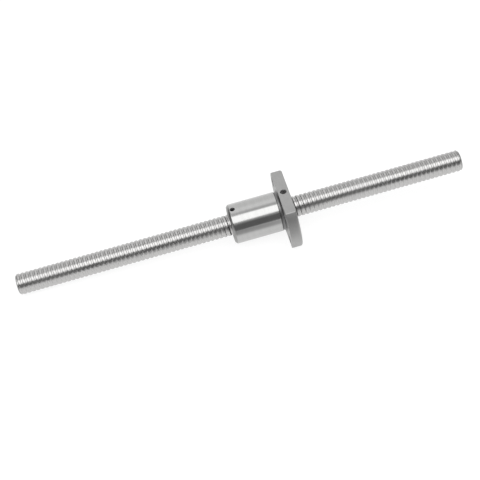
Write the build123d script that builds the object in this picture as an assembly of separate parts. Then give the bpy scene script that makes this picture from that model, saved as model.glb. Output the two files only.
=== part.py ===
from build123d import *
from math import atan, cos, degrees, pi, radians, sin, sqrt
import os

# Miniature flanged ball screw: a steel screw with a flanged ball nut on it.
# Millimetres. X runs along the screw, from its long end to its short end, and Z is up.
# The origin is on the screw's axis, in the plane of the flange's mounting face.
# The flange's two flats face up and down, and its long sides point along +Y and -Y.

# Screw
screw_length = 204.0
screw_reach = 121.0  # from the mounting face to the end on the -X side
lead = 2.0  # travel for one right-hand turn
crest_diameter = 9.5  # over the ridges left between the turns of the ball track
end_chamfer = 0.7

# Balls and the track that they run on
ball_diameter = 1.2
ball_circle_diameter = 10.1  # through the ball centres
race_clearance = 0.02
circuit_step_turns = 3  # leads from one circuit to the next
ball_lift = 0.35  # how far a deflector lifts the balls, to pass over the ridge

# Nut body and flange, one turned piece
nut_length = 28.5
nut_diameter = 18.0
nut_end_chamfer = 1.0
nut_heel_chamfer = 0.3  # on the body's other edge, beside the neck
flange_diameter = 35.0
flange_thickness = 5.0
flange_flats = 22.0  # across the two flats
flange_rim_chamfer = 0.9  # on the outer face's edge
neck_width = 1.4  # relief turned beside the mounting face
neck_diameter = 17.2
seat_relief = 0.1  # the neck's cone runs out this far outside the body, so the face seats flat

# Mounting holes
bolt_hole_diameter = 4.5
bolt_hole_rim = 1.75  # metal between a hole and the flange's round edge
bolt_hole_angle = 30.0  # from the flange's long axis

# Lubrication port in the upper flat, and its passage into the bore
port_diameter = 2.8
port_depth = 3.5
passage_diameter = 1.2
passage_wall = 0.15  # left between the passage and the flange wiper's recess

# Wipers: a ring in a recess at each end of the nut
wiper_diameter = 13.5
wiper_clearance = 0.05
wiper_lip_clearance = 0.1  # over the screw's crest
wiper_dish = 0.5  # depth of the cone in the wiper's outer face
wiper_inset = 0.2  # from the nut's end face to the wiper
end_wiper_width = 3.5
flange_wiper_width = 1.6

# Set screw that holds the end wiper, in a radial hole near the nut's end
set_screw_diameter = 2.2
set_screw_length = 1.5
set_screw_fit = 0.02
set_screw_place = 2.4  # from the nut's end face to the hole's centre
set_screw_socket = 0.9  # across the flats of the hexagon
set_screw_socket_depth = 0.8

# Return deflectors: an insert for each circuit, in a window through the nut's wall
deflector_length = 8.6
deflector_width = 4.0
deflector_fit = 0.02
deflector_inset = 0.15  # below the nut's outside
window_margin = 0.2  # metal beside the outermost windows
channel_clearance = 0.05
crossing_half_angle = 30.0  # half of the arc in which the balls cross back by one turn

# Worked out from the sizes above
ball_radius = ball_diameter / 2
ball_circle_radius = ball_circle_diameter / 2
core_radius = ball_circle_radius - ball_radius - race_clearance
bore_radius = ball_circle_radius + ball_radius + race_clearance
nut_radius = nut_diameter / 2
neck_radius = neck_diameter / 2
neck_cone = nut_radius + seat_relief - neck_radius
nut_end = flange_thickness - nut_length
wiper_radius = wiper_diameter / 2
recess_radius = wiper_radius + wiper_clearance
wiper_bore_radius = crest_diameter / 2 + wiper_lip_clearance
end_shoulder = nut_end + wiper_inset + end_wiper_width
flange_shoulder = flange_thickness - wiper_inset - flange_wiper_width
bolt_circle_radius = flange_diameter / 2 - bolt_hole_rim - bolt_hole_diameter / 2
balls_per_circuit = int(pi * ball_circle_diameter / ball_diameter) - 1
crossing_radius = ball_circle_radius + ball_lift

# In the crossing the balls go back along X by what the loaded arc has carried them.
crossing_travel = lead * (1 - 2 * crossing_half_angle / 360)
crossing_half_width = crossing_radius * sin(radians(crossing_half_angle))
crossing_slope = crossing_travel / 2 / crossing_half_width
crossing_tilt = degrees(atan(crossing_slope))

# As many circuits as the wall between the end wiper's shoulder and the neck has room for.
window_tilt_span = (deflector_length - deflector_width) * sin(radians(crossing_tilt))
window_span = deflector_width + window_tilt_span + 2 * window_margin
circuit_step = circuit_step_turns * lead
circuit_middle = (end_shoulder - neck_width) / 2
circuit_count = 1 + int((-neck_width - end_shoulder - window_span) / circuit_step)


def nearest_corner(face, x, radius):
    """The face's corner nearest to a place, given as X and the distance from the axis."""
    return face.vertices().sort_by_distance(Vector(x, radius, 0))[0]


def turned(points, chamfers=()):
    """A turned solid about X from (x, radius) points, with some of its corners chamfered."""
    face = make_face(Polyline(*points, close=True))
    for x, radius, size in chamfers:
        face = chamfer(nearest_corner(face, x, radius), size)
    return revolve(face, Axis.X, 360)


def make_screw_shaft():
    """The screw's bar at the root of its ball track, chamfered at both cut ends."""
    left = -screw_reach
    right = screw_length - screw_reach
    outline = [(left, 0), (left, core_radius), (right, core_radius), (right, 0)]
    chamfers = [(left, core_radius, end_chamfer), (right, core_radius, end_chamfer)]
    return turned(outline, chamfers)


def deflector_prism(x, fit):
    """The round-ended plug of a deflector at x, tilted along the crossing, up to the axis."""
    plug = SlotOverall(deflector_length - 2 * fit, deflector_width - 2 * fit)
    reach = nut_radius + deflector_width
    return extrude(Pos(x, 0, -reach) * Rot(0, 0, 90 + crossing_tilt) * plug, reach)


def circuit_places():
    """The X of each ball circuit's middle."""
    offset = (circuit_count - 1) / 2
    return [circuit_middle + (index - offset) * circuit_step for index in range(circuit_count)]


def make_nut_body():
    """The flanged nut: bore, wiper recesses, neck, flats, holes and deflector windows."""
    flange_radius = flange_diameter / 2
    outline = [
        (nut_end, recess_radius),
        (nut_end, nut_radius),
        (-neck_width, nut_radius),
        (-neck_width, neck_radius),
        (0, neck_radius),
        (0, flange_radius),
        (flange_thickness, flange_radius),
        (flange_thickness, recess_radius),
        (flange_shoulder, recess_radius),
        (flange_shoulder, bore_radius),
        (end_shoulder, bore_radius),
        (end_shoulder, recess_radius),
    ]
    chamfers = [
        (nut_end, nut_radius, nut_end_chamfer),
        (-neck_width, nut_radius, nut_heel_chamfer),
        (0, neck_radius, neck_cone),
        (flange_thickness, flange_radius, flange_rim_chamfer),
    ]
    nut = turned(outline, chamfers)
    nut &= Pos(nut_end + nut_length / 2, 0, 0) * Box(2 * nut_length, 2 * flange_diameter, flange_flats)

    for side in (-1, 1):
        for angle in (-bolt_hole_angle, bolt_hole_angle):
            y = side * bolt_circle_radius * cos(radians(angle))
            z = bolt_circle_radius * sin(radians(angle))
            hole = Cylinder(bolt_hole_diameter / 2, 2 * flange_thickness, rotation=(0, 90, 0))
            nut -= Pos(flange_thickness / 2, y, z) * hole

    port_top = flange_flats / 2
    port = Cylinder(port_diameter / 2, port_depth, align=(Align.CENTER, Align.CENTER, Align.MAX))
    passage = Cylinder(passage_diameter / 2, port_top, align=(Align.CENTER, Align.CENTER, Align.MAX))
    nut -= Pos(flange_thickness / 2, 0, port_top) * port
    nut -= Pos(flange_shoulder - passage_wall - passage_diameter / 2, 0, port_top) * passage

    set_screw_hole = Cylinder(
        set_screw_diameter / 2, nut_radius, align=(Align.CENTER, Align.CENTER, Align.MIN)
    )
    nut -= Pos(nut_end + set_screw_place, 0, wiper_bore_radius) * set_screw_hole

    for x in circuit_places():
        nut -= deflector_prism(x, 0)
    return nut


def make_deflector(x):
    """A return insert: its outside follows the nut's, and a channel inside lifts the balls."""
    shell_length = 2 * deflector_length
    shell = Cylinder(nut_radius - deflector_inset, shell_length, rotation=(0, 90, 0))
    shell -= Cylinder(bore_radius, shell_length, rotation=(0, 90, 0))
    insert = deflector_prism(x, deflector_fit) & Pos(x, 0, 0) * shell
    channel = Cylinder(ball_radius + channel_clearance, shell_length, rotation=(90, 0, 0))
    return insert - Pos(x, 0, -crossing_radius) * Rot(0, 0, crossing_tilt) * channel


def ball_centre(middle, angle):
    """Where a ball's centre lies, angle degrees on from the middle of its deflector."""
    turn = (angle + 180) % 360 - 180
    if abs(turn) < crossing_half_angle:
        rise = (1 + cos(pi * turn / crossing_half_angle)) / 2
        radius = ball_circle_radius + ball_lift * rise
        x = -crossing_slope * radius * sin(radians(turn))
    else:
        radius = ball_circle_radius
        x = lead * (angle % 360 - 180) / 360
    return Pos(middle + x, radius * sin(radians(turn)), -radius * cos(radians(turn)))


def make_ball():
    """A ball as a solid of 26 flat faces, with its corners on the ball's own sphere."""
    edge = ball_diameter / sqrt(5 + 2 * sqrt(2))
    width = edge * (1 + sqrt(2))
    cube = Box(width, width, width)
    return chamfer(cube.edges(), (width - edge) / 2)


def make_ball_circuit(middle):
    """One closed train of balls, a turn of the track and the crossing back."""
    ball = make_ball()
    step = 360 / balls_per_circuit
    return Compound([ball_centre(middle, step * index) * ball for index in range(balls_per_circuit)])


def make_wiper(seat, width, outward):
    """A wiper ring on its shoulder, with a dished face on the side that looks outward."""
    face = seat + outward * width
    outline = [
        (seat, wiper_bore_radius),
        (seat, wiper_radius),
        (face, wiper_radius),
        (face, wiper_bore_radius + wiper_dish),
        (face - outward * wiper_dish, wiper_bore_radius),
    ]
    return turned(outline)


def make_wiper_screw():
    """The socket set screw over the end wiper, sunk below the nut's outside."""
    up = (Align.CENTER, Align.CENTER, Align.MIN)
    screw = Cylinder(set_screw_diameter / 2 - set_screw_fit, set_screw_length, align=up)
    socket = extrude(RegularPolygon(set_screw_socket / 2, 6, major_radius=False), set_screw_socket_depth)
    screw -= Pos(0, 0, set_screw_length - set_screw_socket_depth) * socket
    return Pos(nut_end + set_screw_place, 0, recess_radius) * screw


def make_parts():
    """Every piece, by its name."""
    parts = {
        "screw_shaft": make_screw_shaft(),
        "nut_body": make_nut_body(),
        "end_wiper": make_wiper(end_shoulder, end_wiper_width, -1),
        "flange_wiper": make_wiper(flange_shoulder, flange_wiper_width, 1),
        "wiper_screw": make_wiper_screw(),
    }
    for number, x in enumerate(circuit_places(), start=1):
        parts[f"return_deflector_{number}"] = make_deflector(x)
        parts[f"ball_circuit_{number}"] = make_ball_circuit(x)
    return parts


os.makedirs("parts", exist_ok=True)
for name, shape in make_parts().items():
    export_step(shape, f"parts/{name}.step")
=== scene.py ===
"""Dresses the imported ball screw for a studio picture: rolled screw, flanged nut, wipers and balls.

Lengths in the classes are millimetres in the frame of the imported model. X runs along the screw,
Z is up, and the origin lies on the screw's axis in the flange's mounting face.
"""

import logging
import math
from collections.abc import Callable
from dataclasses import dataclass
from enum import Enum

import bpy
from mathutils import Euler, Matrix, Vector

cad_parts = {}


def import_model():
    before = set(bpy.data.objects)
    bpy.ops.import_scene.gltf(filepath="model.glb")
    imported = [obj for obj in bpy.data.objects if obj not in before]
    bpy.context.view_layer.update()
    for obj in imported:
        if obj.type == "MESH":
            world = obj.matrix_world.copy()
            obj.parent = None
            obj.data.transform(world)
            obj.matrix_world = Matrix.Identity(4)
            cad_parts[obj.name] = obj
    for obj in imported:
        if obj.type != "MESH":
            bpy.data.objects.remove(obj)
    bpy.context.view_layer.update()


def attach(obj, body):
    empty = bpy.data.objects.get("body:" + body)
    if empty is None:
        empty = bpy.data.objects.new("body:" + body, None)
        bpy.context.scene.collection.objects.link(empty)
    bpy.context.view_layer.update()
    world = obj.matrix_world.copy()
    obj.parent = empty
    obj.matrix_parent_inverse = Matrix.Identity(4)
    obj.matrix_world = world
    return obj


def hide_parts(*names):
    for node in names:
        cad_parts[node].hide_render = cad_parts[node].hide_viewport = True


LOG = logging.getLogger("ball_screw")
MM = 0.001
SAME = 0.001  # distance under which two places are one, in millimetres
NEAR = 0.02  # how close a corner must lie to be the one that is meant, in millimetres
LEAST_LEFT = 0.1  # share of its faces that the work keeps through a sound cut, at least
FLAT_TILT = 0.5  # tilt under which faces lie in one plane, in degrees
SMUDGE_DENSITY = 90.0  # patches of oil film to a metre, as the noise's scale

Obj = bpy.types.Object
Paint = dict[str, bpy.types.Material]
Socket = bpy.types.NodeSocket
Feed = Socket | float | tuple[float, ...]
Span = tuple[float, float]
Spot = tuple[float, float, float]


class Cut(Enum):
    """How a tool's solid changes the work."""

    REMOVE = "DIFFERENCE"
    KEEP_SHARED = "INTERSECT"


class Marks(Enum):
    """The marks that a machine leaves in a surface, as the scale of their noise along X, Y and Z."""

    TURNED = (1.0, 0.03, 0.03)
    MILLED = (0.12, 1.0, 0.12)
    FACED = (0.05, 1.0, 1.0)
    BLASTED = (1.0, 1.0, 1.0)


@dataclass(frozen=True)
class Corner:
    """A corner of a turned outline.

    Attributes:
        x: Place along the axis.
        radius: Distance from the axis.
        rounding: Length that the corner's rounding takes off each side.
    """

    x: float
    radius: float
    rounding: float = 0.0


def leave_edit() -> None:
    """Leaves edit mode."""
    bpy.ops.object.mode_set(mode="OBJECT")


def start_fresh() -> None:
    """Leaves edit mode and deselects everything."""
    if bpy.context.object and bpy.context.object.mode != "OBJECT":
        leave_edit()
    bpy.ops.object.select_all(action="DESELECT")


def name_new(name: str) -> Obj:
    """Names the object that has just been added.

    Args:
        name: The name for the object and its mesh.

    Returns:
        The object.
    """
    obj = bpy.context.object
    obj.name = name
    obj.data.name = name
    return obj


def work_on(obj: Obj) -> None:
    """Makes an object the only one selected, and the active one."""
    start_fresh()
    obj.select_set(True)
    bpy.context.view_layer.objects.active = obj


def edit_all(obj: Obj) -> None:
    """Opens an object in edit mode with all of it selected."""
    work_on(obj)
    bpy.ops.object.mode_set(mode="EDIT")
    bpy.ops.mesh.select_all(action="SELECT")


def pick(obj: Obj, mode: str, wanted: Callable[[list[Vector]], bool]) -> None:
    """Selects the parts of a mesh that pass a test, and leaves the mesh in edit mode.

    Args:
        obj: The mesh object.
        mode: "VERT", "EDGE" or "FACE".
        wanted: A test of the places, in millimetres, of a part's vertices.
    """
    work_on(obj)
    bpy.ops.object.mode_set(mode="EDIT")
    bpy.ops.mesh.select_mode(type=mode)
    bpy.ops.mesh.select_all(action="DESELECT")
    leave_edit()
    mesh = obj.data
    places = [vertex.co / MM for vertex in mesh.vertices]
    if mode == "VERT":
        parts = [(vertex, [places[vertex.index]]) for vertex in mesh.vertices]
    elif mode == "EDGE":
        parts = [(edge, [places[i] for i in edge.vertices]) for edge in mesh.edges]
    else:
        parts = [(face, [places[i] for i in face.vertices]) for face in mesh.polygons]
    for part, corners in parts:
        if wanted(corners):
            part.select = True
    bpy.ops.object.mode_set(mode="EDIT")


def trim(at: Spot, beyond: Spot, close: bool) -> None:
    """Cuts off what lies beyond a plane, in edit mode.

    Args:
        at: A point of the plane, in millimetres.
        beyond: The direction of what goes.
        close: Whether the cut is filled with a face.
    """
    bpy.ops.mesh.select_all(action="SELECT")
    bpy.ops.mesh.bisect(
        plane_co=Vector(at) * MM, plane_no=beyond, clear_outer=True, use_fill=close, threshold=1e-7
    )


def settle(obj: Obj) -> None:
    """Puts an object's place, turn and size into its mesh."""
    work_on(obj)
    bpy.ops.object.transform_apply(location=True, rotation=True, scale=True)


def tidy_mesh(obj: Obj) -> None:
    """Merges the doubles of a mesh and turns its faces outwards."""
    edit_all(obj)
    bpy.ops.mesh.remove_doubles(threshold=SAME * MM)
    bpy.ops.mesh.normals_make_consistent(inside=False)
    leave_edit()


def bake_modifier(obj: Obj, kind: str, **settings) -> None:
    """Adds a modifier to an object and applies it.

    Args:
        obj: The mesh object.
        kind: The modifier's type.
        **settings: Its settings.
    """
    modifier = obj.modifiers.new(kind.lower(), kind)
    for key, value in settings.items():
        setattr(modifier, key, value)
    work_on(obj)
    bpy.ops.object.modifier_apply(modifier=modifier.name)


def carve(work: Obj, tool: Obj, cut: Cut) -> None:
    """Changes the work with a tool's solid, and takes the tool away.

    Args:
        work: The object that is changed.
        tool: The solid that changes it, whose materials the new faces get.
        cut: What is done.

    Raises:
        RuntimeError: If hardly anything of the work is left.
    """
    faces = len(work.data.polygons)
    settings = {"operation": cut.value, "solver": "EXACT", "material_mode": "TRANSFER"}
    bake_modifier(work, "BOOLEAN", object=tool, **settings)
    left = len(work.data.polygons)
    if left < LEAST_LEFT * faces:
        raise RuntimeError(f"{tool.name} leaves {left} of {faces} faces of {work.name}")
    bpy.data.objects.remove(tool)


def draw_outline(name: str, corners: list[Corner], closed: bool) -> Obj:
    """Draws a wire over the X axis corner by corner, in the plane of X and Z, and rounds it.

    Args:
        name: The new object's name.
        corners: The corners, in order.
        closed: Whether the last corner joins the first.

    Returns:
        The wire's object.
    """
    start_fresh()
    bpy.ops.mesh.primitive_plane_add(size=MM)
    obj = name_new(name)
    bpy.ops.object.mode_set(mode="EDIT")
    bpy.ops.mesh.select_mode(type="VERT")
    bpy.ops.mesh.select_all(action="SELECT")
    bpy.ops.mesh.merge(type="CENTER")
    bpy.ops.transform.translate(value=(corners[0].x * MM, 0, corners[0].radius * MM))
    stops = corners[1:] + corners[:1] if closed else corners[1:]
    for start, stop in zip(corners, stops):
        step = ((stop.x - start.x) * MM, 0, (stop.radius - start.radius) * MM)
        bpy.ops.mesh.extrude_region_move(TRANSFORM_OT_translate={"value": step})
    bpy.ops.mesh.select_all(action="SELECT")
    bpy.ops.mesh.remove_doubles(threshold=SAME * MM)
    for corner in corners:
        if corner.rounding:
            place = Vector((corner.x, 0, corner.radius))
            pick(obj, "VERT", lambda at: (at[0] - place).length < NEAR)
            bpy.ops.mesh.bevel(offset=corner.rounding * MM, segments=4, affect="VERTICES")
    leave_edit()
    return obj


def turn(name: str, corners: list[Corner], steps: int, closed: bool = True) -> Obj:
    """Turns a solid about the X axis from its outline.

    Args:
        name: The new object's name.
        corners: The outline's corners, in order.
        steps: Faces round the axis.
        closed: False for an outline that starts and ends on the axis.

    Returns:
        The turned object.
    """
    obj = draw_outline(name, corners, closed)
    edit_all(obj)
    bpy.ops.mesh.spin(steps=steps, angle=math.tau, center=(0, 0, 0), axis=(1, 0, 0))
    tidy_mesh(obj)
    return obj


def place(obj: Obj, at: Spot, tilt: Spot) -> None:
    """Moves and turns an object, and keeps that in its mesh.

    Args:
        obj: The object, still as it was modelled about the X axis.
        at: Where its origin goes, in millimetres.
        tilt: Its turns about X, Y and Z, in degrees.
    """
    obj.location = Vector(at) * MM
    obj.rotation_euler = Euler([math.radians(angle) for angle in tilt])
    settle(obj)


def finish_shading(obj: Obj, angle: float) -> None:
    """Shades an object smooth up to an angle, and evens the normals beside its flat faces.

    Args:
        obj: The mesh object.
        angle: The sharpest edge that stays smooth, in degrees.
    """
    work_on(obj)
    bpy.ops.object.shade_smooth_by_angle(angle=math.radians(angle))
    bake_modifier(obj, "WEIGHTED_NORMAL", keep_sharp=True)


def give(obj: Obj, *materials: bpy.types.Material) -> None:
    """Puts materials into an object's slots, in order."""
    obj.data.materials.clear()
    for material in materials:
        obj.data.materials.append(material)


class Nodes:
    """The nodes of one tree, added and joined in code."""

    def __init__(self, tree: bpy.types.NodeTree) -> None:
        """Keeps the tree that nodes go into."""
        self.tree = tree

    def add(self, kind: str, label: str = "", **settings) -> bpy.types.Node:
        """Adds a node.

        Args:
            kind: The node's type, without "ShaderNode".
            label: What the node is for.
            **settings: Its settings.

        Returns:
            The node.
        """
        node = self.tree.nodes.new(f"ShaderNode{kind}")
        node.label = label
        for key, value in settings.items():
            setattr(node, key, value)
        return node

    def set(self, socket: Socket, value: Feed) -> None:
        """Gives an input a value, or joins an output to it."""
        if isinstance(value, Socket):
            self.tree.links.new(value, socket)
        else:
            socket.default_value = value

    def math(self, operation: str, first: Feed, second: Feed = 0.5, label: str = "") -> Socket:
        """Adds a Math node.

        Args:
            operation: The node's operation.
            first: Its first value or output.
            second: Its second value or output.
            label: What the node is for.

        Returns:
            The node's output.
        """
        node = self.add("Math", label, operation=operation)
        self.set(node.inputs[0], first)
        self.set(node.inputs[1], second)
        return node.outputs[0]

    def ramp(self, value: Feed, across: Span, levels: Span, label: str, kind: str = "SMOOTHSTEP") -> Socket:
        """Maps a range onto another.

        Args:
            value: What is mapped.
            across: The lowest and highest value of the range.
            levels: What they become.
            label: What the node is for.
            kind: "SMOOTHSTEP" for a soft change, "LINEAR" for an even one.

        Returns:
            The mapped output.
        """
        node = self.add("MapRange", label, interpolation_type=kind)
        self.set(node.inputs["Value"], value)
        for key, number in zip(("From Min", "From Max", "To Min", "To Max"), (*across, *levels)):
            node.inputs[key].default_value = number
        return node.outputs["Result"]

    def spread(self, value: Feed, low: float, high: float, label: str) -> Socket:
        """Maps a noise's usual range, 0.25 to 0.75, onto another range.

        Args:
            value: The noise.
            low: What 0.25 becomes.
            high: What 0.75 becomes.
            label: What the node is for.

        Returns:
            The mapped output.
        """
        return self.ramp(value, (0.25, 0.75), (low, high), label, "LINEAR")


class EffectGroups:
    """The effects that several finishes share, each built once as a node group."""

    def __init__(self) -> None:
        """Builds both groups."""
        self.tool_marks = self.build_tool_marks()
        self.smudges = self.build_smudges()

    @staticmethod
    def open_group(
        name: str, inputs: dict[str, str], outputs: list[str]
    ) -> tuple[bpy.types.NodeTree, Nodes, bpy.types.Node, bpy.types.Node]:
        """Makes an empty group.

        Args:
            name: The group's name.
            inputs: Socket type by input name.
            outputs: Names of the value outputs.

        Returns:
            The group, its Nodes, its input node and its output node.
        """
        group = bpy.data.node_groups.new(name, "ShaderNodeTree")
        for label, kind in inputs.items():
            group.interface.new_socket(name=label, in_out="INPUT", socket_type=kind)
        for label in outputs:
            group.interface.new_socket(name=label, in_out="OUTPUT", socket_type="NodeSocketFloat")
        nodes = Nodes(group)
        return group, nodes, group.nodes.new("NodeGroupInput"), group.nodes.new("NodeGroupOutput")

    def build_tool_marks(self) -> bpy.types.NodeTree:
        """Builds the fine and broad lines that turning, milling and grinding leave.

        Returns:
            A group from a place, a direction scale and a density to two noises.
        """
        inputs = {
            "Place": "NodeSocketVector",
            "Direction": "NodeSocketVector",
            "Fine Density": "NodeSocketFloat",
            "Broad Density": "NodeSocketFloat",
        }
        group, nodes, entry, leave = self.open_group("tool_marks", inputs, ["Fine", "Broad"])
        stretch = nodes.add("VectorMath", "stretch along the cut", operation="MULTIPLY")
        nodes.set(stretch.inputs[0], entry.outputs["Place"])
        nodes.set(stretch.inputs[1], entry.outputs["Direction"])
        for name, detail in (("Fine", 3.0), ("Broad", 2.0)):
            noise = nodes.add("TexNoise", f"{name.lower()} lines", noise_dimensions="3D")
            nodes.set(noise.inputs["Vector"], stretch.outputs[0])
            nodes.set(noise.inputs["Scale"], entry.outputs[f"{name} Density"])
            nodes.set(noise.inputs["Detail"], detail)
            nodes.set(leave.inputs[name], noise.outputs["Fac"])
        return group

    def build_smudges(self) -> bpy.types.NodeTree:
        """Builds the soft patches that oil and handling leave.

        Returns:
            A group from a place and a density to a soft mask.
        """
        inputs = {"Place": "NodeSocketVector", "Density": "NodeSocketFloat"}
        group, nodes, entry, leave = self.open_group("smudges", inputs, ["Mask"])
        cloud = nodes.add("TexNoise", "oil film", noise_dimensions="3D")
        nodes.set(cloud.inputs["Vector"], entry.outputs["Place"])
        nodes.set(cloud.inputs["Scale"], entry.outputs["Density"])
        nodes.set(cloud.inputs["Detail"], 4.0)
        nodes.set(cloud.inputs["Roughness"], 0.6)
        nodes.set(cloud.inputs["Distortion"], 0.4)
        nodes.set(leave.inputs["Mask"], nodes.spread(cloud.outputs["Fac"], 0.0, 1.0, "patches"))
        return group


@dataclass(frozen=True)
class Finish:
    """A surface finish, from its base tone to the marks of its making.

    Attributes:
        name: The material's name.
        tone: Base colour, linear.
        roughness: Middle of the roughness.
        marks: Direction of the tool's lines.
        fine: Fine lines to a metre, as the noise's scale.
        broad: Broad lines to a metre.
        tone_change: Share by which the marks change the tone.
        roughness_change: By how much marks and smudges change the roughness.
        depth: Height of the fine marks, in millimetres.
        metallic: 1 for bare metal, 0 for plastic.
    """

    name: str
    tone: tuple[float, float, float]
    roughness: float
    marks: Marks
    fine: float
    broad: float
    tone_change: float
    roughness_change: float
    depth: float
    metallic: float = 1.0

    def shade(self, share: float) -> tuple[float, float, float, float]:
        """Gives the tone made lighter or darker by a share."""
        return (*(min(part * (1 + share), 1.0) for part in self.tone), 1.0)

    def material(self, groups: EffectGroups) -> bpy.types.Material:
        """Builds the finish as a material.

        Args:
            groups: The shared effects.

        Returns:
            The material.
        """
        material = bpy.data.materials.new(self.name)
        material.use_nodes = True
        material.node_tree.nodes.clear()
        nodes = Nodes(material.node_tree)
        place_on = nodes.add("TexCoord", "place on the part").outputs["Object"]

        marks = nodes.add("Group", "tool marks", node_tree=groups.tool_marks)
        nodes.set(marks.inputs["Place"], place_on)
        nodes.set(marks.inputs["Direction"], self.marks.value)
        nodes.set(marks.inputs["Fine Density"], self.fine)
        nodes.set(marks.inputs["Broad Density"], self.broad)
        smudges = nodes.add("Group", "oil film", node_tree=groups.smudges)
        nodes.set(smudges.inputs["Place"], place_on)
        nodes.set(smudges.inputs["Density"], SMUDGE_DENSITY)

        tone = nodes.add("Mix", "tone", data_type="RGBA")
        nodes.set(tone.inputs["Factor"], nodes.spread(marks.outputs["Broad"], 0.0, 1.0, "broad bands"))
        nodes.set(tone.inputs["A"], self.shade(-self.tone_change))
        nodes.set(tone.inputs["B"], self.shade(self.tone_change))

        shader = nodes.add("BsdfPrincipled", "surface")
        nodes.set(shader.inputs["Base Color"], tone.outputs["Result"])
        nodes.set(shader.inputs["Metallic"], self.metallic)
        middle, change = self.roughness, self.roughness_change
        grain = nodes.spread(marks.outputs["Fine"], middle - change, middle + change, "grain")
        film = nodes.spread(smudges.outputs["Mask"], -change, change, "film")
        nodes.set(shader.inputs["Roughness"], nodes.math("ADD", grain, film, "roughness"))

        relief = nodes.add("Bump", "relief of the marks")
        nodes.set(relief.inputs["Height"], marks.outputs["Fine"])
        nodes.set(relief.inputs["Strength"], 1.0)
        nodes.set(relief.inputs["Distance"], self.depth * MM)
        nodes.set(shader.inputs["Normal"], relief.outputs["Normal"])

        leave = nodes.add("OutputMaterial")
        nodes.set(leave.inputs["Surface"], shader.outputs["BSDF"])
        return material


FINISHES = {
    finish.name: finish
    for finish in (
        Finish("rolled_steel", (0.565, 0.56, 0.555), 0.26, Marks.TURNED, 9000, 900, 0.05, 0.03, 0.0006),
        Finish("faced_steel", (0.36, 0.36, 0.355), 0.30, Marks.FACED, 9000, 1500, 0.06, 0.05, 0.001),
        Finish("ground_steel", (0.53, 0.53, 0.525), 0.15, Marks.TURNED, 12000, 700, 0.03, 0.03, 0.0004),
        Finish("milled_steel", (0.458, 0.458, 0.453), 0.44, Marks.BLASTED, 6000, 2400, 0.07, 0.05, 0.0015),
        # painted shade: this dark tone stands in for the shade that falls in the neck's recess between
        # barrel and flange
        Finish("shaded_neck_steel", (0.26, 0.26, 0.26), 0.42, Marks.TURNED, 9000, 1500, 0.08, 0.05, 0.001),
        Finish("drilled_steel", (0.50, 0.50, 0.50), 0.60, Marks.MILLED, 9000, 1500, 0.10, 0.05, 0.002),
        Finish("ball_steel", (0.62, 0.62, 0.615), 0.08, Marks.BLASTED, 4000, 600, 0.02, 0.02, 0.0001),
        Finish("deflector_steel", (0.22, 0.215, 0.21), 0.45, Marks.BLASTED, 7000, 1500, 0.10, 0.05, 0.002),
        Finish("blackened_steel", (0.06, 0.06, 0.062), 0.40, Marks.BLASTED, 7000, 1500, 0.15, 0.05, 0.001),
        Finish(
            "wiper_plastic", (0.018, 0.018, 0.019), 0.48, Marks.BLASTED, 6000, 1200, 0.20, 0.06, 0.002, 0.0
        ),
    )
}


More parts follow.
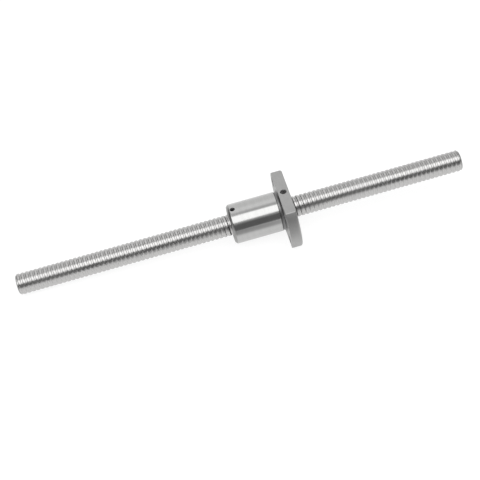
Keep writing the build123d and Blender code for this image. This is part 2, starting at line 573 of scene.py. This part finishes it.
@dataclass
class ThreadedShaft:
    """The rolled screw: a right-hand ball track wound along a bar, chamfered at both cut ends."""

    left: float = -121.0
    right: float = 83.0
    lead: float = 2.0
    crest_radius: float = 4.75
    ball_circle_radius: float = 5.05
    track_radius: float = 0.62
    land_rounding: float = 0.08
    end_chamfer: float = 0.7
    track_at_top: float = -10.6
    steps: int = 48
    bar_steps: int = 96
    bar_over: float = 0.3
    spare: float = 0.5

    def draw_pitch(self) -> Obj:
        """Draws one pitch of the ridge and its track, above the axis.

        Returns:
            The open wire's object, a lead long from half a land to half a land.
        """
        before = math.ceil((self.track_at_top - self.left + self.spare) / self.lead) + 1
        middle = self.track_at_top - before * self.lead
        start_fresh()
        bpy.ops.mesh.primitive_circle_add(
            vertices=28,
            radius=self.track_radius * MM,
            location=(middle * MM, 0, self.ball_circle_radius * MM),
            rotation=(math.pi / 2, 0, 0),
        )
        wire = name_new("threaded_shaft")
        settle(wire)
        bpy.ops.object.mode_set(mode="EDIT")
        trim((0, 0, self.crest_radius), (0, 0, 1), close=False)
        leave_edit()
        half_track = max(vertex.co.x / MM - middle for vertex in wire.data.vertices)
        half_land = self.lead / 2 - half_track
        for side in (-1, 1):
            edge = middle + side * half_track
            pick(wire, "VERT", lambda at: abs(at[0].x - edge) < SAME)
            step = (side * half_land * MM, 0, 0)
            bpy.ops.mesh.extrude_region_move(TRANSFORM_OT_translate={"value": step})
        pick(wire, "VERT", lambda at: abs(abs(at[0].x - middle) - half_track) < SAME)
        bpy.ops.mesh.bevel(offset=self.land_rounding * MM, segments=2, affect="VERTICES")
        leave_edit()
        return wire

    def wind(self, wire: Obj) -> None:
        """Winds the pitch along the bar and closes both ends."""
        start = min(vertex.co.x for vertex in wire.data.vertices) / MM
        turns = math.ceil((self.right + self.spare - start) / self.lead) + 1
        bake_modifier(
            wire,
            "SCREW",
            axis="X",
            angle=math.tau,
            screw_offset=self.lead * MM,
            iterations=turns,
            steps=self.steps,
            render_steps=self.steps,
        )
        tidy_mesh(wire)
        bpy.ops.object.mode_set(mode="EDIT")
        trim((self.left - self.spare, 0, 0), (-1, 0, 0), close=True)
        trim((self.right + self.spare, 0, 0), (1, 0, 0), close=True)
        tidy_mesh(wire)

    def build(self, paint: Paint) -> Obj:
        """Builds and dresses the screw.

        Args:
            paint: The materials by name.

        Returns:
            The finished piece.
        """
        shaft = self.draw_pitch()
        self.wind(shaft)
        give(shaft, paint["rolled_steel"])
        rim = self.crest_radius + self.bar_over
        cone = self.end_chamfer + self.bar_over
        bar = turn(
            "shaft_bar",
            [
                Corner(self.left, 0),
                Corner(self.left, rim - cone),
                Corner(self.left + cone, rim),
                Corner(self.right - cone, rim),
                Corner(self.right, rim - cone),
                Corner(self.right, 0),
            ],
            self.bar_steps,
            closed=False,
        )
        give(bar, paint["faced_steel"])
        carve(shaft, bar, Cut.KEEP_SHARED)
        finish_shading(shaft, 50)
        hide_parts("screw_shaft")
        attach(shaft, "screw")
        return shaft


@dataclass
class DeflectorPlaces:
    """Where the return deflectors sit, and the shape of their windows."""

    xs: tuple[float, ...] = (-16.6, -10.6, -4.6)
    length: float = 8.6
    width: float = 4.0
    tilt: float = 17.15
    steps: int = 64

    def plug(self, name: str, x: float, fit: float, low: float, high: float) -> Obj:
        """Makes a round-ended plug that stands in the nut's wall below the axis.

        Args:
            name: The new object's name.
            x: The plug's middle.
            fit: How far it stays inside the window all round.
            low: Where it starts below the axis.
            high: Where it ends below the axis.

        Returns:
            The plug's object.
        """
        radius = self.width / 2 - fit
        reach = self.length / 2 - self.width / 2
        start_fresh()
        bpy.ops.mesh.primitive_circle_add(vertices=self.steps, radius=radius * MM, fill_type="NGON")
        plug = name_new(name)
        for side in (-1, 1):
            pick(plug, "VERT", lambda at: side * at[0].x > NEAR)
            bpy.ops.transform.translate(value=(side * reach * MM, 0, 0))
        pick(plug, "VERT", lambda at: abs(at[0].x) <= NEAR)
        bpy.ops.mesh.dissolve_verts()
        bpy.ops.mesh.select_all(action="SELECT")
        bpy.ops.mesh.extrude_region_move(TRANSFORM_OT_translate={"value": (0, 0, (high - low) * MM)})
        tidy_mesh(plug)
        place(plug, (x, 0, -high), (0, 0, 90 + self.tilt))
        return plug


@dataclass
class FlangedNut:
    """The ground nut body with its milled flange, neck, holes and windows."""

    end: float = -23.5
    radius: float = 9.0
    end_chamfer: float = 1.0
    heel_rounding: float = 0.3
    neck_width: float = 1.4
    neck_radius: float = 8.6
    neck_rounding: float = 0.15
    fillet: float = 1.2
    flange_radius: float = 17.5
    flange_thickness: float = 5.0
    flats: float = 22.0
    rim_rounding: float = 0.9
    edge_break: float = 0.2
    bore_radius: float = 5.67
    recess_radius: float = 6.8
    end_shoulder: float = -19.8
    flange_shoulder: float = 3.2
    bolt_radius: float = 2.25
    bolt_circle: float = 13.5
    bolt_angle: float = 30.0
    port_radius: float = 1.4
    port_depth: float = 3.5
    passage_radius: float = 0.6
    passage_x: float = 2.45
    set_screw_radius: float = 1.1
    set_screw_x: float = -21.1
    steps: int = 160
    drill_steps: int = 48

    def turn_blank(self, paint: Paint) -> Obj:
        """Turns the nut's blank in one piece, from the barrel's end to the flange's outer face.

        Args:
            paint: The materials by name.

        Returns:
            The blank, round and solid.
        """
        flange_face = self.flange_thickness
        blank = turn(
            "flanged_nut",
            [
                Corner(self.end, 0),
                Corner(self.end, self.radius - self.end_chamfer, self.heel_rounding),
                Corner(self.end + self.end_chamfer, self.radius, self.heel_rounding),
                Corner(-self.neck_width, self.radius, self.heel_rounding),
                Corner(-self.neck_width, self.neck_radius, self.neck_rounding),
                Corner(0, self.neck_radius, self.fillet),
                Corner(0, self.flange_radius, self.edge_break),
                Corner(flange_face, self.flange_radius, self.rim_rounding),
                Corner(flange_face, 0),
            ],
            self.steps,
            closed=False,
        )
        coats = ("ground_steel", "shaded_neck_steel", "milled_steel", "faced_steel")
        give(blank, *(paint[coat] for coat in coats))
        for face in blank.data.polygons:
            x = face.center.x / MM
            if x > -NEAR:
                face.material_index = coats.index("milled_steel")
            # The neck's faces get the dark tone, painted shade of the recess beside the flange.
            elif x > -self.neck_width - self.heel_rounding / 2:
                face.material_index = coats.index("shaded_neck_steel")
            elif x < self.end + self.end_chamfer:
                face.material_index = coats.index("faced_steel")
        return blank

    def mill_flats(self, blank: Obj) -> None:
        """Mills both flats and breaks their edges.

        Args:
            blank: The turned blank.
        """
        work_on(blank)
        bpy.ops.object.mode_set(mode="EDIT")
        for side in (-1, 1):
            trim((0, 0, side * self.flats / 2), (0, 0, side), close=True)
        for face_x in (0.0, self.flange_thickness):
            pick(blank, "FACE", lambda at: all(abs(p.x - face_x) < SAME for p in at))
            bpy.ops.mesh.dissolve_limited(angle_limit=math.radians(FLAT_TILT))
        pick(blank, "EDGE", lambda at: all(abs(abs(p.z) - self.flats / 2) < SAME for p in at))
        bpy.ops.mesh.bevel(offset=self.edge_break * MM, segments=2, affect="EDGES")
        leave_edit()

    def bore_tool(self) -> Obj:
        """Turns the tool that cuts the bore and both wiper recesses.

        Returns:
            The tool's object.
        """
        chamfer = 0.5
        over = 0.3  # how far the chamfers run on past the end faces
        start = self.end - over
        stop = self.flange_thickness + over
        flare = self.recess_radius + chamfer
        outside = self.end - 1.5
        outline = [
            Corner(outside, 0),
            Corner(outside, flare),
            Corner(start, flare),
            Corner(start + chamfer, self.recess_radius),
            Corner(self.end_shoulder, self.recess_radius),
            Corner(self.end_shoulder, self.bore_radius),
            Corner(self.flange_shoulder, self.bore_radius),
            Corner(self.flange_shoulder, self.recess_radius),
            Corner(stop - chamfer, self.recess_radius),
            Corner(stop, flare),
            Corner(stop + 1, flare),
            Corner(stop + 1, 0),
        ]
        return turn("bore_tool", outline, self.steps, closed=False)

    def drill(self, radius: float, low: float, high: float, flare: float, both: bool) -> Obj:
        """Turns a drill about X that also breaks the hole's edge.

        Args:
            radius: The hole's radius.
            low: Where the hole starts.
            high: Where it comes out.
            flare: Width of the broken edge.
            both: Whether the edge at the start is broken too.

        Returns:
            The drill's object.
        """
        over = 0.4
        wide = radius + over + flare
        outline = [Corner(low, 0), Corner(low, radius)]
        if both:
            outline = [Corner(low - over, 0), Corner(low - over, wide), Corner(low + flare, radius)]
        outline += [Corner(high - flare, radius), Corner(high + over, wide), Corner(high + over, 0)]
        return turn("drill", outline, self.drill_steps, closed=False)

    def cut_holes(self, nut: Obj, drilled: bpy.types.Material) -> None:
        """Drills the bolt holes, the port with its passage and the set screw's hole.

        Args:
            nut: The nut, bored already.
            drilled: The material of the holes' walls.
        """
        for side in (-1, 1):
            for angle in (-self.bolt_angle, self.bolt_angle):
                y = side * self.bolt_circle * math.cos(math.radians(angle))
                z = self.bolt_circle * math.sin(math.radians(angle))
                drill = self.drill(self.bolt_radius, 0, self.flange_thickness, self.edge_break, True)
                give(drill, drilled)
                place(drill, (0, y, z), (0, 0, 0))
                carve(nut, drill, Cut.REMOVE)
        top = self.flats / 2
        upright = (0, -90, 0)
        for radius, x, low, high, flare in (
            (self.port_radius, self.flange_thickness / 2, top - self.port_depth, top, 0.15),
            (self.passage_radius, self.passage_x, 0, top - self.port_depth + 0.2, 0.05),
            (self.set_screw_radius, self.set_screw_x, self.bore_radius, self.radius, 0.1),
        ):
            drill = self.drill(radius, low, high, flare, False)
            give(drill, drilled)
            place(drill, (x, 0, 0), upright)
            carve(nut, drill, Cut.REMOVE)

    def build(self, paint: Paint, windows: DeflectorPlaces) -> Obj:
        """Builds and dresses the nut.

        Args:
            paint: The materials by name.
            windows: Where the deflectors' windows are.

        Returns:
            The finished piece.
        """
        nut = self.turn_blank(paint)
        self.mill_flats(nut)
        bore = self.bore_tool()
        give(bore, paint["drilled_steel"])
        carve(nut, bore, Cut.REMOVE)
        self.cut_holes(nut, paint["drilled_steel"])
        for x in windows.xs:
            window = windows.plug("window", x, 0.0, 0.0, self.radius + 2)
            give(window, paint["drilled_steel"])
            carve(nut, window, Cut.REMOVE)
        finish_shading(nut, 30)
        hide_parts("nut_body")
        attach(nut, "nut")
        return nut


@dataclass
class ReturnDeflector:
    """One return insert: it fills its window, and a channel inside lifts the balls over the ridge."""

    number: int
    x: float
    outside_radius: float = 8.85
    inside_radius: float = 5.67
    fit: float = 0.02
    channel_radius: float = 0.65
    channel_place: float = 5.4
    edge_break: float = 0.12
    steps: int = 160
    channel_steps: int = 32

    def build(self, paint: Paint, windows: DeflectorPlaces) -> Obj:
        """Builds and dresses the insert.

        Args:
            paint: The materials by name.
            windows: The windows' shape.

        Returns:
            The finished piece.
        """
        name = f"deflector_insert_{self.number}"
        insert = windows.plug(name, self.x, self.fit, 0.0, self.outside_radius + 2)
        reach = windows.length
        shell = turn(
            "deflector_shell",
            [
                Corner(self.x - reach, self.inside_radius),
                Corner(self.x - reach, self.outside_radius),
                Corner(self.x + reach, self.outside_radius),
                Corner(self.x + reach, self.inside_radius),
            ],
            self.steps,
        )
        carve(insert, shell, Cut.KEEP_SHARED)
        give(insert, paint["deflector_steel"])
        end_rounding = 0.2
        channel = turn(
            "deflector_channel",
            [
                Corner(-reach, 0),
                Corner(-reach, self.channel_radius, end_rounding),
                Corner(reach, self.channel_radius, end_rounding),
                Corner(reach, 0),
            ],
            self.channel_steps,
            closed=False,
        )
        place(channel, (self.x, 0, -self.channel_place), (0, 0, 90 + windows.tilt))
        give(channel, paint["deflector_steel"])
        carve(insert, channel, Cut.REMOVE)
        sharp = {"limit_method": "ANGLE", "angle_limit": math.radians(50)}
        bake_modifier(insert, "BEVEL", width=self.edge_break * MM, segments=2, **sharp)
        finish_shading(insert, 35)
        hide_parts(f"return_deflector_{self.number}")
        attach(insert, "nut")
        return insert


@dataclass
class BallTrain:
    """One closed train of balls: a turn of the track and the crossing back over the ridge."""

    number: int
    x: float
    lead: float = 2.0
    balls: int = 25
    ball_radius: float = 0.6
    circle_radius: float = 5.05
    lift: float = 0.35
    half_angle: float = 30.0

    def centre(self, angle: float) -> Vector:
        """Finds a ball's centre.

        Args:
            angle: Degrees on from the middle of the deflector.

        Returns:
            The centre, in millimetres.
        """
        turn_by = (angle + 180) % 360 - 180
        around = math.radians(turn_by)
        if abs(turn_by) < self.half_angle:
            top = self.circle_radius + self.lift
            travel = self.lead * (1 - 2 * self.half_angle / 360)
            slope = travel / 2 / (top * math.sin(math.radians(self.half_angle)))
            rise = 1 + math.cos(math.pi * turn_by / self.half_angle)
            radius = self.circle_radius + self.lift * rise / 2
            along = -slope * radius * math.sin(around)
        else:
            radius = self.circle_radius
            along = self.lead * (angle % 360 - 180) / 360
        return Vector((self.x + along, radius * math.sin(around), -radius * math.cos(around)))

    def build(self, paint: Paint) -> Obj:
        """Builds and dresses the train, a ball modelled once and copied along its path.

        Args:
            paint: The materials by name.

        Returns:
            The finished piece.
        """
        centres = [self.centre(360 / self.balls * step) for step in range(self.balls)]
        start_fresh()
        bpy.ops.mesh.primitive_ico_sphere_add(
            subdivisions=2, radius=self.ball_radius * MM, location=centres[0] * MM
        )
        train = name_new(f"ball_train_{self.number}")
        settle(train)
        edit_all(train)
        bpy.ops.mesh.subdivide(number_cuts=1, smoothness=1.0)
        for here, following in zip(centres, centres[1:]):
            bpy.ops.mesh.duplicate_move(TRANSFORM_OT_translate={"value": (following - here) * MM})
        leave_edit()
        give(train, paint["ball_steel"])
        work_on(train)
        bpy.ops.object.shade_smooth()
        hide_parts(f"ball_circuit_{self.number}")
        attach(train, "nut")
        return train


@dataclass
class WiperRing:
    """A plastic wiper in its recess: a dished face outside and a lip over the screw's crest."""

    node: str
    seat: float
    width: float
    outward: int
    radius: float = 6.75
    lip_radius: float = 4.85
    dish: float = 0.5
    groove: float = 0.25
    seat_gap: float = 0.02
    steps: int = 128

    def build(self, paint: Paint) -> Obj:
        """Builds and dresses the ring.

        Args:
            paint: The materials by name.

        Returns:
            The finished piece.
        """
        face = self.seat + self.outward * self.width
        seat = self.seat + self.outward * self.seat_gap
        inner = self.lip_radius + self.dish
        middle = (inner + self.radius) / 2
        ring = turn(
            f"{self.node}_ring",
            [
                Corner(seat, self.lip_radius + 0.2),
                Corner(seat, self.radius, 0.1),
                Corner(face, self.radius, 0.12),
                Corner(face, middle + self.groove),
                Corner(face - self.outward * self.groove, middle + self.groove / 2),
                Corner(face - self.outward * self.groove, middle - self.groove / 2),
                Corner(face, middle - self.groove),
                Corner(face, inner),
                Corner(face - self.outward * self.dish, self.lip_radius),
                Corner(seat + self.outward * 0.3, self.lip_radius),
            ],
            self.steps,
        )
        give(ring, paint["wiper_plastic"])
        finish_shading(ring, 35)
        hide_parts(self.node)
        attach(ring, "wipers")
        return ring


@dataclass
class SetScrew:
    """The socket set screw that holds the end wiper, sunk in its hole."""

    x: float = -21.1
    low: float = 6.8
    length: float = 1.5
    radius: float = 1.08
    socket: float = 0.9
    socket_depth: float = 0.8
    steps: int = 64

    def build(self, paint: Paint) -> Obj:
        """Builds and dresses the set screw.

        Args:
            paint: The materials by name.

        Returns:
            The finished piece.
        """
        high = self.low + self.length
        screw = turn(
            "set_screw",
            [
                Corner(self.low, 0),
                Corner(self.low, self.radius, 0.2),
                Corner(high, self.radius, 0.12),
                Corner(high, 0),
            ],
            self.steps,
            closed=False,
        )
        give(screw, paint["blackened_steel"])
        start_fresh()
        bpy.ops.mesh.primitive_circle_add(
            vertices=6,
            radius=self.socket / math.sqrt(3) * MM,
            fill_type="NGON",
            location=((high - self.socket_depth) * MM, 0, 0),
            rotation=(0, math.pi / 2, 0),
        )
        key = name_new("hexagon_key")
        settle(key)
        edit_all(key)
        stroke = ((self.socket_depth + 0.5) * MM, 0, 0)
        bpy.ops.mesh.extrude_region_move(TRANSFORM_OT_translate={"value": stroke})
        tidy_mesh(key)
        give(key, paint["blackened_steel"])
        carve(screw, key, Cut.REMOVE)
        place(screw, (self.x, 0, 0), (0, -90, 0))
        finish_shading(screw, 35)
        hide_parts("wiper_screw")
        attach(screw, "nut")
        return screw


@dataclass
class Studio:
    """The pale floor, the overhead softbox, the walls' light and the camera."""

    azimuth: float = -2.683
    elevation: float = 46.539
    roll: float = -13.851
    distance: float = 520.0
    shift_right: float = -18.347
    shift_up: float = -13.164
    lens: float = 87.64
    floor_low: float = -11.0
    floor_slope: float = 2.957
    floor_size: float = 6000.0
    floor_tone: float = 0.22
    floor_glow: float = 0.88
    softbox_angle: float = 66.8
    softbox_distance: float = 800.0
    softbox_width: float = 555.0
    softbox_length: float = 6000.0
    softbox_level: float = 0.9

    def build_camera(self) -> None:
        """Places the camera at the picture's angle."""
        side, rise = math.radians(self.azimuth), math.radians(self.elevation)
        back = Vector((math.sin(side) * math.cos(rise), -math.cos(side) * math.cos(rise), math.sin(rise)))
        right = Vector((0, 0, 1)).cross(back).normalized()
        up = back.cross(right)
        spin = math.radians(self.roll)
        tilted_right = right * math.cos(spin) + up * math.sin(spin)
        tilted_up = up * math.cos(spin) - right * math.sin(spin)
        data = bpy.data.cameras.new("studio_camera")
        data.lens = self.lens
        data.sensor_width = 36.0
        data.clip_start = 0.01
        data.clip_end = 50.0
        camera = bpy.data.objects.new("studio_camera", data)
        bpy.context.scene.collection.objects.link(camera)
        spot = back * self.distance + tilted_right * self.shift_right + tilted_up * self.shift_up
        camera.location = spot * MM
        turn_to = Matrix((tilted_right, tilted_up, back)).transposed()
        camera.rotation_euler = turn_to.to_euler()
        bpy.context.scene.camera = camera

    def build_floor(self) -> None:
        """Lays the floor under the flange's lower edge and the screw's long end. It glows evenly white for
        the camera; the glow that the steel sees is painted light, falling off to the front and past the
        screw's ends, with a painted shadow of the nut in front of it.
        """
        start_fresh()
        bpy.ops.mesh.primitive_plane_add(
            size=self.floor_size * MM,
            location=(0, 0, self.floor_low * MM),
            rotation=(0, math.radians(self.floor_slope), 0),
        )
        floor = name_new("studio_floor")
        settle(floor)
        material = bpy.data.materials.new("studio_floor")
        material.use_nodes = True
        material.node_tree.nodes.clear()
        nodes = Nodes(material.node_tree)
        paper = nodes.add("BsdfDiffuse", "white paper")
        nodes.set(paper.inputs["Color"], (*(self.floor_tone,) * 3, 1.0))
        glow = nodes.add("Emission", "keeps the paper white in the picture")
        seen = nodes.add("LightPath", "what the camera and the steel see")
        clear = nodes.math("MAXIMUM", seen.outputs["Is Camera Ray"], seen.outputs["Is Transmission Ray"])
        along = nodes.add("SeparateXYZ", "place on the floor")
        nodes.set(along.inputs[0], nodes.add("TexCoord").outputs["Object"])
        # Painted light for the steel only: the floor's glow falls off to the front and past the screw's
        # ends.
        fall = nodes.ramp(along.outputs["Y"], (-0.12, -0.03), (0.56, 0.78), "light falls off to the front")
        # Painted shadow of the nut: the glow that the steel sees is lowered in a soft patch in front of the
        # nut and beside it.
        front = nodes.ramp(along.outputs["Y"], (-0.040, -0.018), (1.0, 0.0), "in front of the nut")
        aside = nodes.math("ABSOLUTE", nodes.math("ADD", along.outputs["X"], 0.033))
        beside = nodes.ramp(aside, (0.026, 0.062), (0.62, 0.0), "beside the nut")
        dim = nodes.math("SUBTRACT", 1.0, nodes.math("MULTIPLY", front, beside), "the nut's own dim patch")
        outward = nodes.math("ABSOLUTE", along.outputs["X"])
        far = nodes.ramp(outward, (0.12, 0.18), (1.0, 0.30), "light falls off past the screw's ends")
        level = nodes.math("MULTIPLY", nodes.math("MULTIPLY", fall, far), dim)
        steel = nodes.math("MULTIPLY", seen.outputs["Is Glossy Ray"], level, "seen by the steel")
        picture = nodes.math("MULTIPLY", clear, self.floor_glow, "seen by the camera")
        nodes.set(glow.inputs["Strength"], nodes.math("ADD", steel, picture, "glow"))
        both = nodes.add("AddShader")
        nodes.set(both.inputs[0], paper.outputs[0])
        nodes.set(both.inputs[1], glow.outputs[0])
        leave = nodes.add("OutputMaterial")
        nodes.set(leave.inputs["Surface"], both.outputs[0])
        give(floor, material)

    def build_walls(self) -> None:
        """Lights the scene from the walls, which fall off to the dark side where the camera stands."""
        world = bpy.data.worlds.new("studio_walls")
        bpy.context.scene.world = world
        world.use_nodes = True
        world.node_tree.nodes.clear()
        nodes = Nodes(world.node_tree)
        toward = nodes.add("SeparateXYZ", "direction")
        nodes.set(toward.inputs[0], nodes.add("TexCoord").outputs["Generated"])
        front = nodes.math("MULTIPLY", toward.outputs["Y"], -1.0, "towards the camera")
        turn_up = nodes.math("ARCTAN2", toward.outputs["Z"], front, "angle up from the front")
        sideways = nodes.math("ABSOLUTE", toward.outputs["X"], label="towards the screw's ends")
        back = nodes.ramp(sideways, (0.15, 0.60), (0.0, 0.08), "further back at the ends")
        share = nodes.math("DIVIDE", turn_up, math.pi, "share of the half turn")
        share_at = nodes.math("SUBTRACT", share, back, "share, turned back at the ends")
        ramp = nodes.add("ValToRGB", "walls from the front over the top to the back")
        stops = (
            *((0.00, 0.30), (0.035, 0.155), (0.185, 0.155), (0.24, 0.50)),
            *((0.30, 0.90), (0.46, 0.90), (0.535, 0.55), (0.615, 1.00)),
            *((0.68, 1.00), (0.78, 0.86), (0.90, 0.85), (1.00, 0.90)),
        )
        while len(ramp.color_ramp.elements) < len(stops):
            ramp.color_ramp.elements.new(0.5)
        for element, (position, level) in zip(ramp.color_ramp.elements, stops):
            element.position = position
            element.color = (level, level, level, 1.0)
        nodes.set(ramp.inputs["Fac"], share_at)
        beyond = nodes.ramp(share_at, (0.47, 0.57), (0.0, 1.0), "behind the top")
        before = nodes.ramp(share_at, (0.36, 0.42), (0.0, 1.0), "above the softbox")
        overhead = nodes.math("MULTIPLY", before, nodes.math("SUBTRACT", 1.0, beyond), "overhead")
        more = nodes.ramp(sideways, (0.15, 0.45), (0.0, 1.1), "more light sideways")
        less = nodes.ramp(sideways, (0.20, 0.60), (0.0, 0.60), "less light sideways")
        lift = nodes.math("MULTIPLY", more, overhead, "bright over the ends")
        fade = nodes.math("MULTIPLY", less, beyond, "dim behind the ends")
        dark = nodes.ramp(sideways, (0.50, 0.98), (1.0, 0.17), "dark sides")
        change = nodes.math("SUBTRACT", nodes.math("ADD", 1.0, lift), fade, "change overhead")
        strength = nodes.math("MULTIPLY", dark, change, "strength of the walls")
        walls = nodes.add("Background", "walls")
        nodes.set(walls.inputs["Color"], ramp.outputs["Color"])
        nodes.set(walls.inputs["Strength"], strength)
        white = nodes.add("Background", "white backdrop")
        nodes.set(white.inputs["Color"], (1.0, 1.0, 1.0, 1.0))
        seen = nodes.add("LightPath", "what the camera sees")
        blend = nodes.add("MixShader", "backdrop or walls")
        nodes.set(blend.inputs[0], seen.outputs["Is Camera Ray"])
        nodes.set(blend.inputs[1], walls.outputs[0])
        nodes.set(blend.inputs[2], white.outputs[0])
        leave = nodes.add("OutputWorld")
        nodes.set(leave.inputs["Surface"], blend.outputs[0])

    def build_softbox(self) -> None:
        """Hangs the softbox over the part, a little towards the camera."""
        data = bpy.data.lights.new("overhead_softbox", "AREA")
        data.shape = "RECTANGLE"
        data.size = self.softbox_length * MM
        data.size_y = self.softbox_width * MM
        area = data.size * data.size_y
        data.energy = self.softbox_level * math.pi * area
        softbox = bpy.data.objects.new("overhead_softbox", data)
        bpy.context.scene.collection.objects.link(softbox)
        angle = math.radians(self.softbox_angle)
        towards = Vector((0, -math.cos(angle), math.sin(angle)))
        softbox.location = towards * self.softbox_distance * MM
        softbox.rotation_euler = (math.radians(90 - self.softbox_angle), 0, 0)
        softbox.visible_camera = False

    def build(self) -> None:
        """Sets the whole studio up."""
        self.build_camera()
        self.build_floor()
        self.build_walls()
        self.build_softbox()
        bpy.context.scene.view_settings.view_transform = "Standard"


def main() -> None:
    """Builds the studio and every piece, in order."""
    logging.basicConfig(level=logging.INFO, format="%(name)s: %(message)s")
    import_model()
    Studio().build()
    groups = EffectGroups()
    paint = {name: finish.material(groups) for name, finish in FINISHES.items()}
    windows = DeflectorPlaces()
    pieces = [ThreadedShaft().build(paint), FlangedNut().build(paint, windows)]
    for number, x in enumerate(windows.xs, start=1):
        pieces.append(ReturnDeflector(number, x).build(paint, windows))
        pieces.append(BallTrain(number, x).build(paint))
    pieces.append(WiperRing("end_wiper", -19.8, 3.5, -1).build(paint))
    pieces.append(WiperRing("flange_wiper", 3.2, 1.6, 1).build(paint))
    pieces.append(SetScrew().build(paint))
    for piece in pieces:
        triangles = sum(len(face.vertices) - 2 for face in piece.data.polygons)
        LOG.info("%s: %d triangles", piece.name, triangles)


if __name__ == "__main__":
    main()
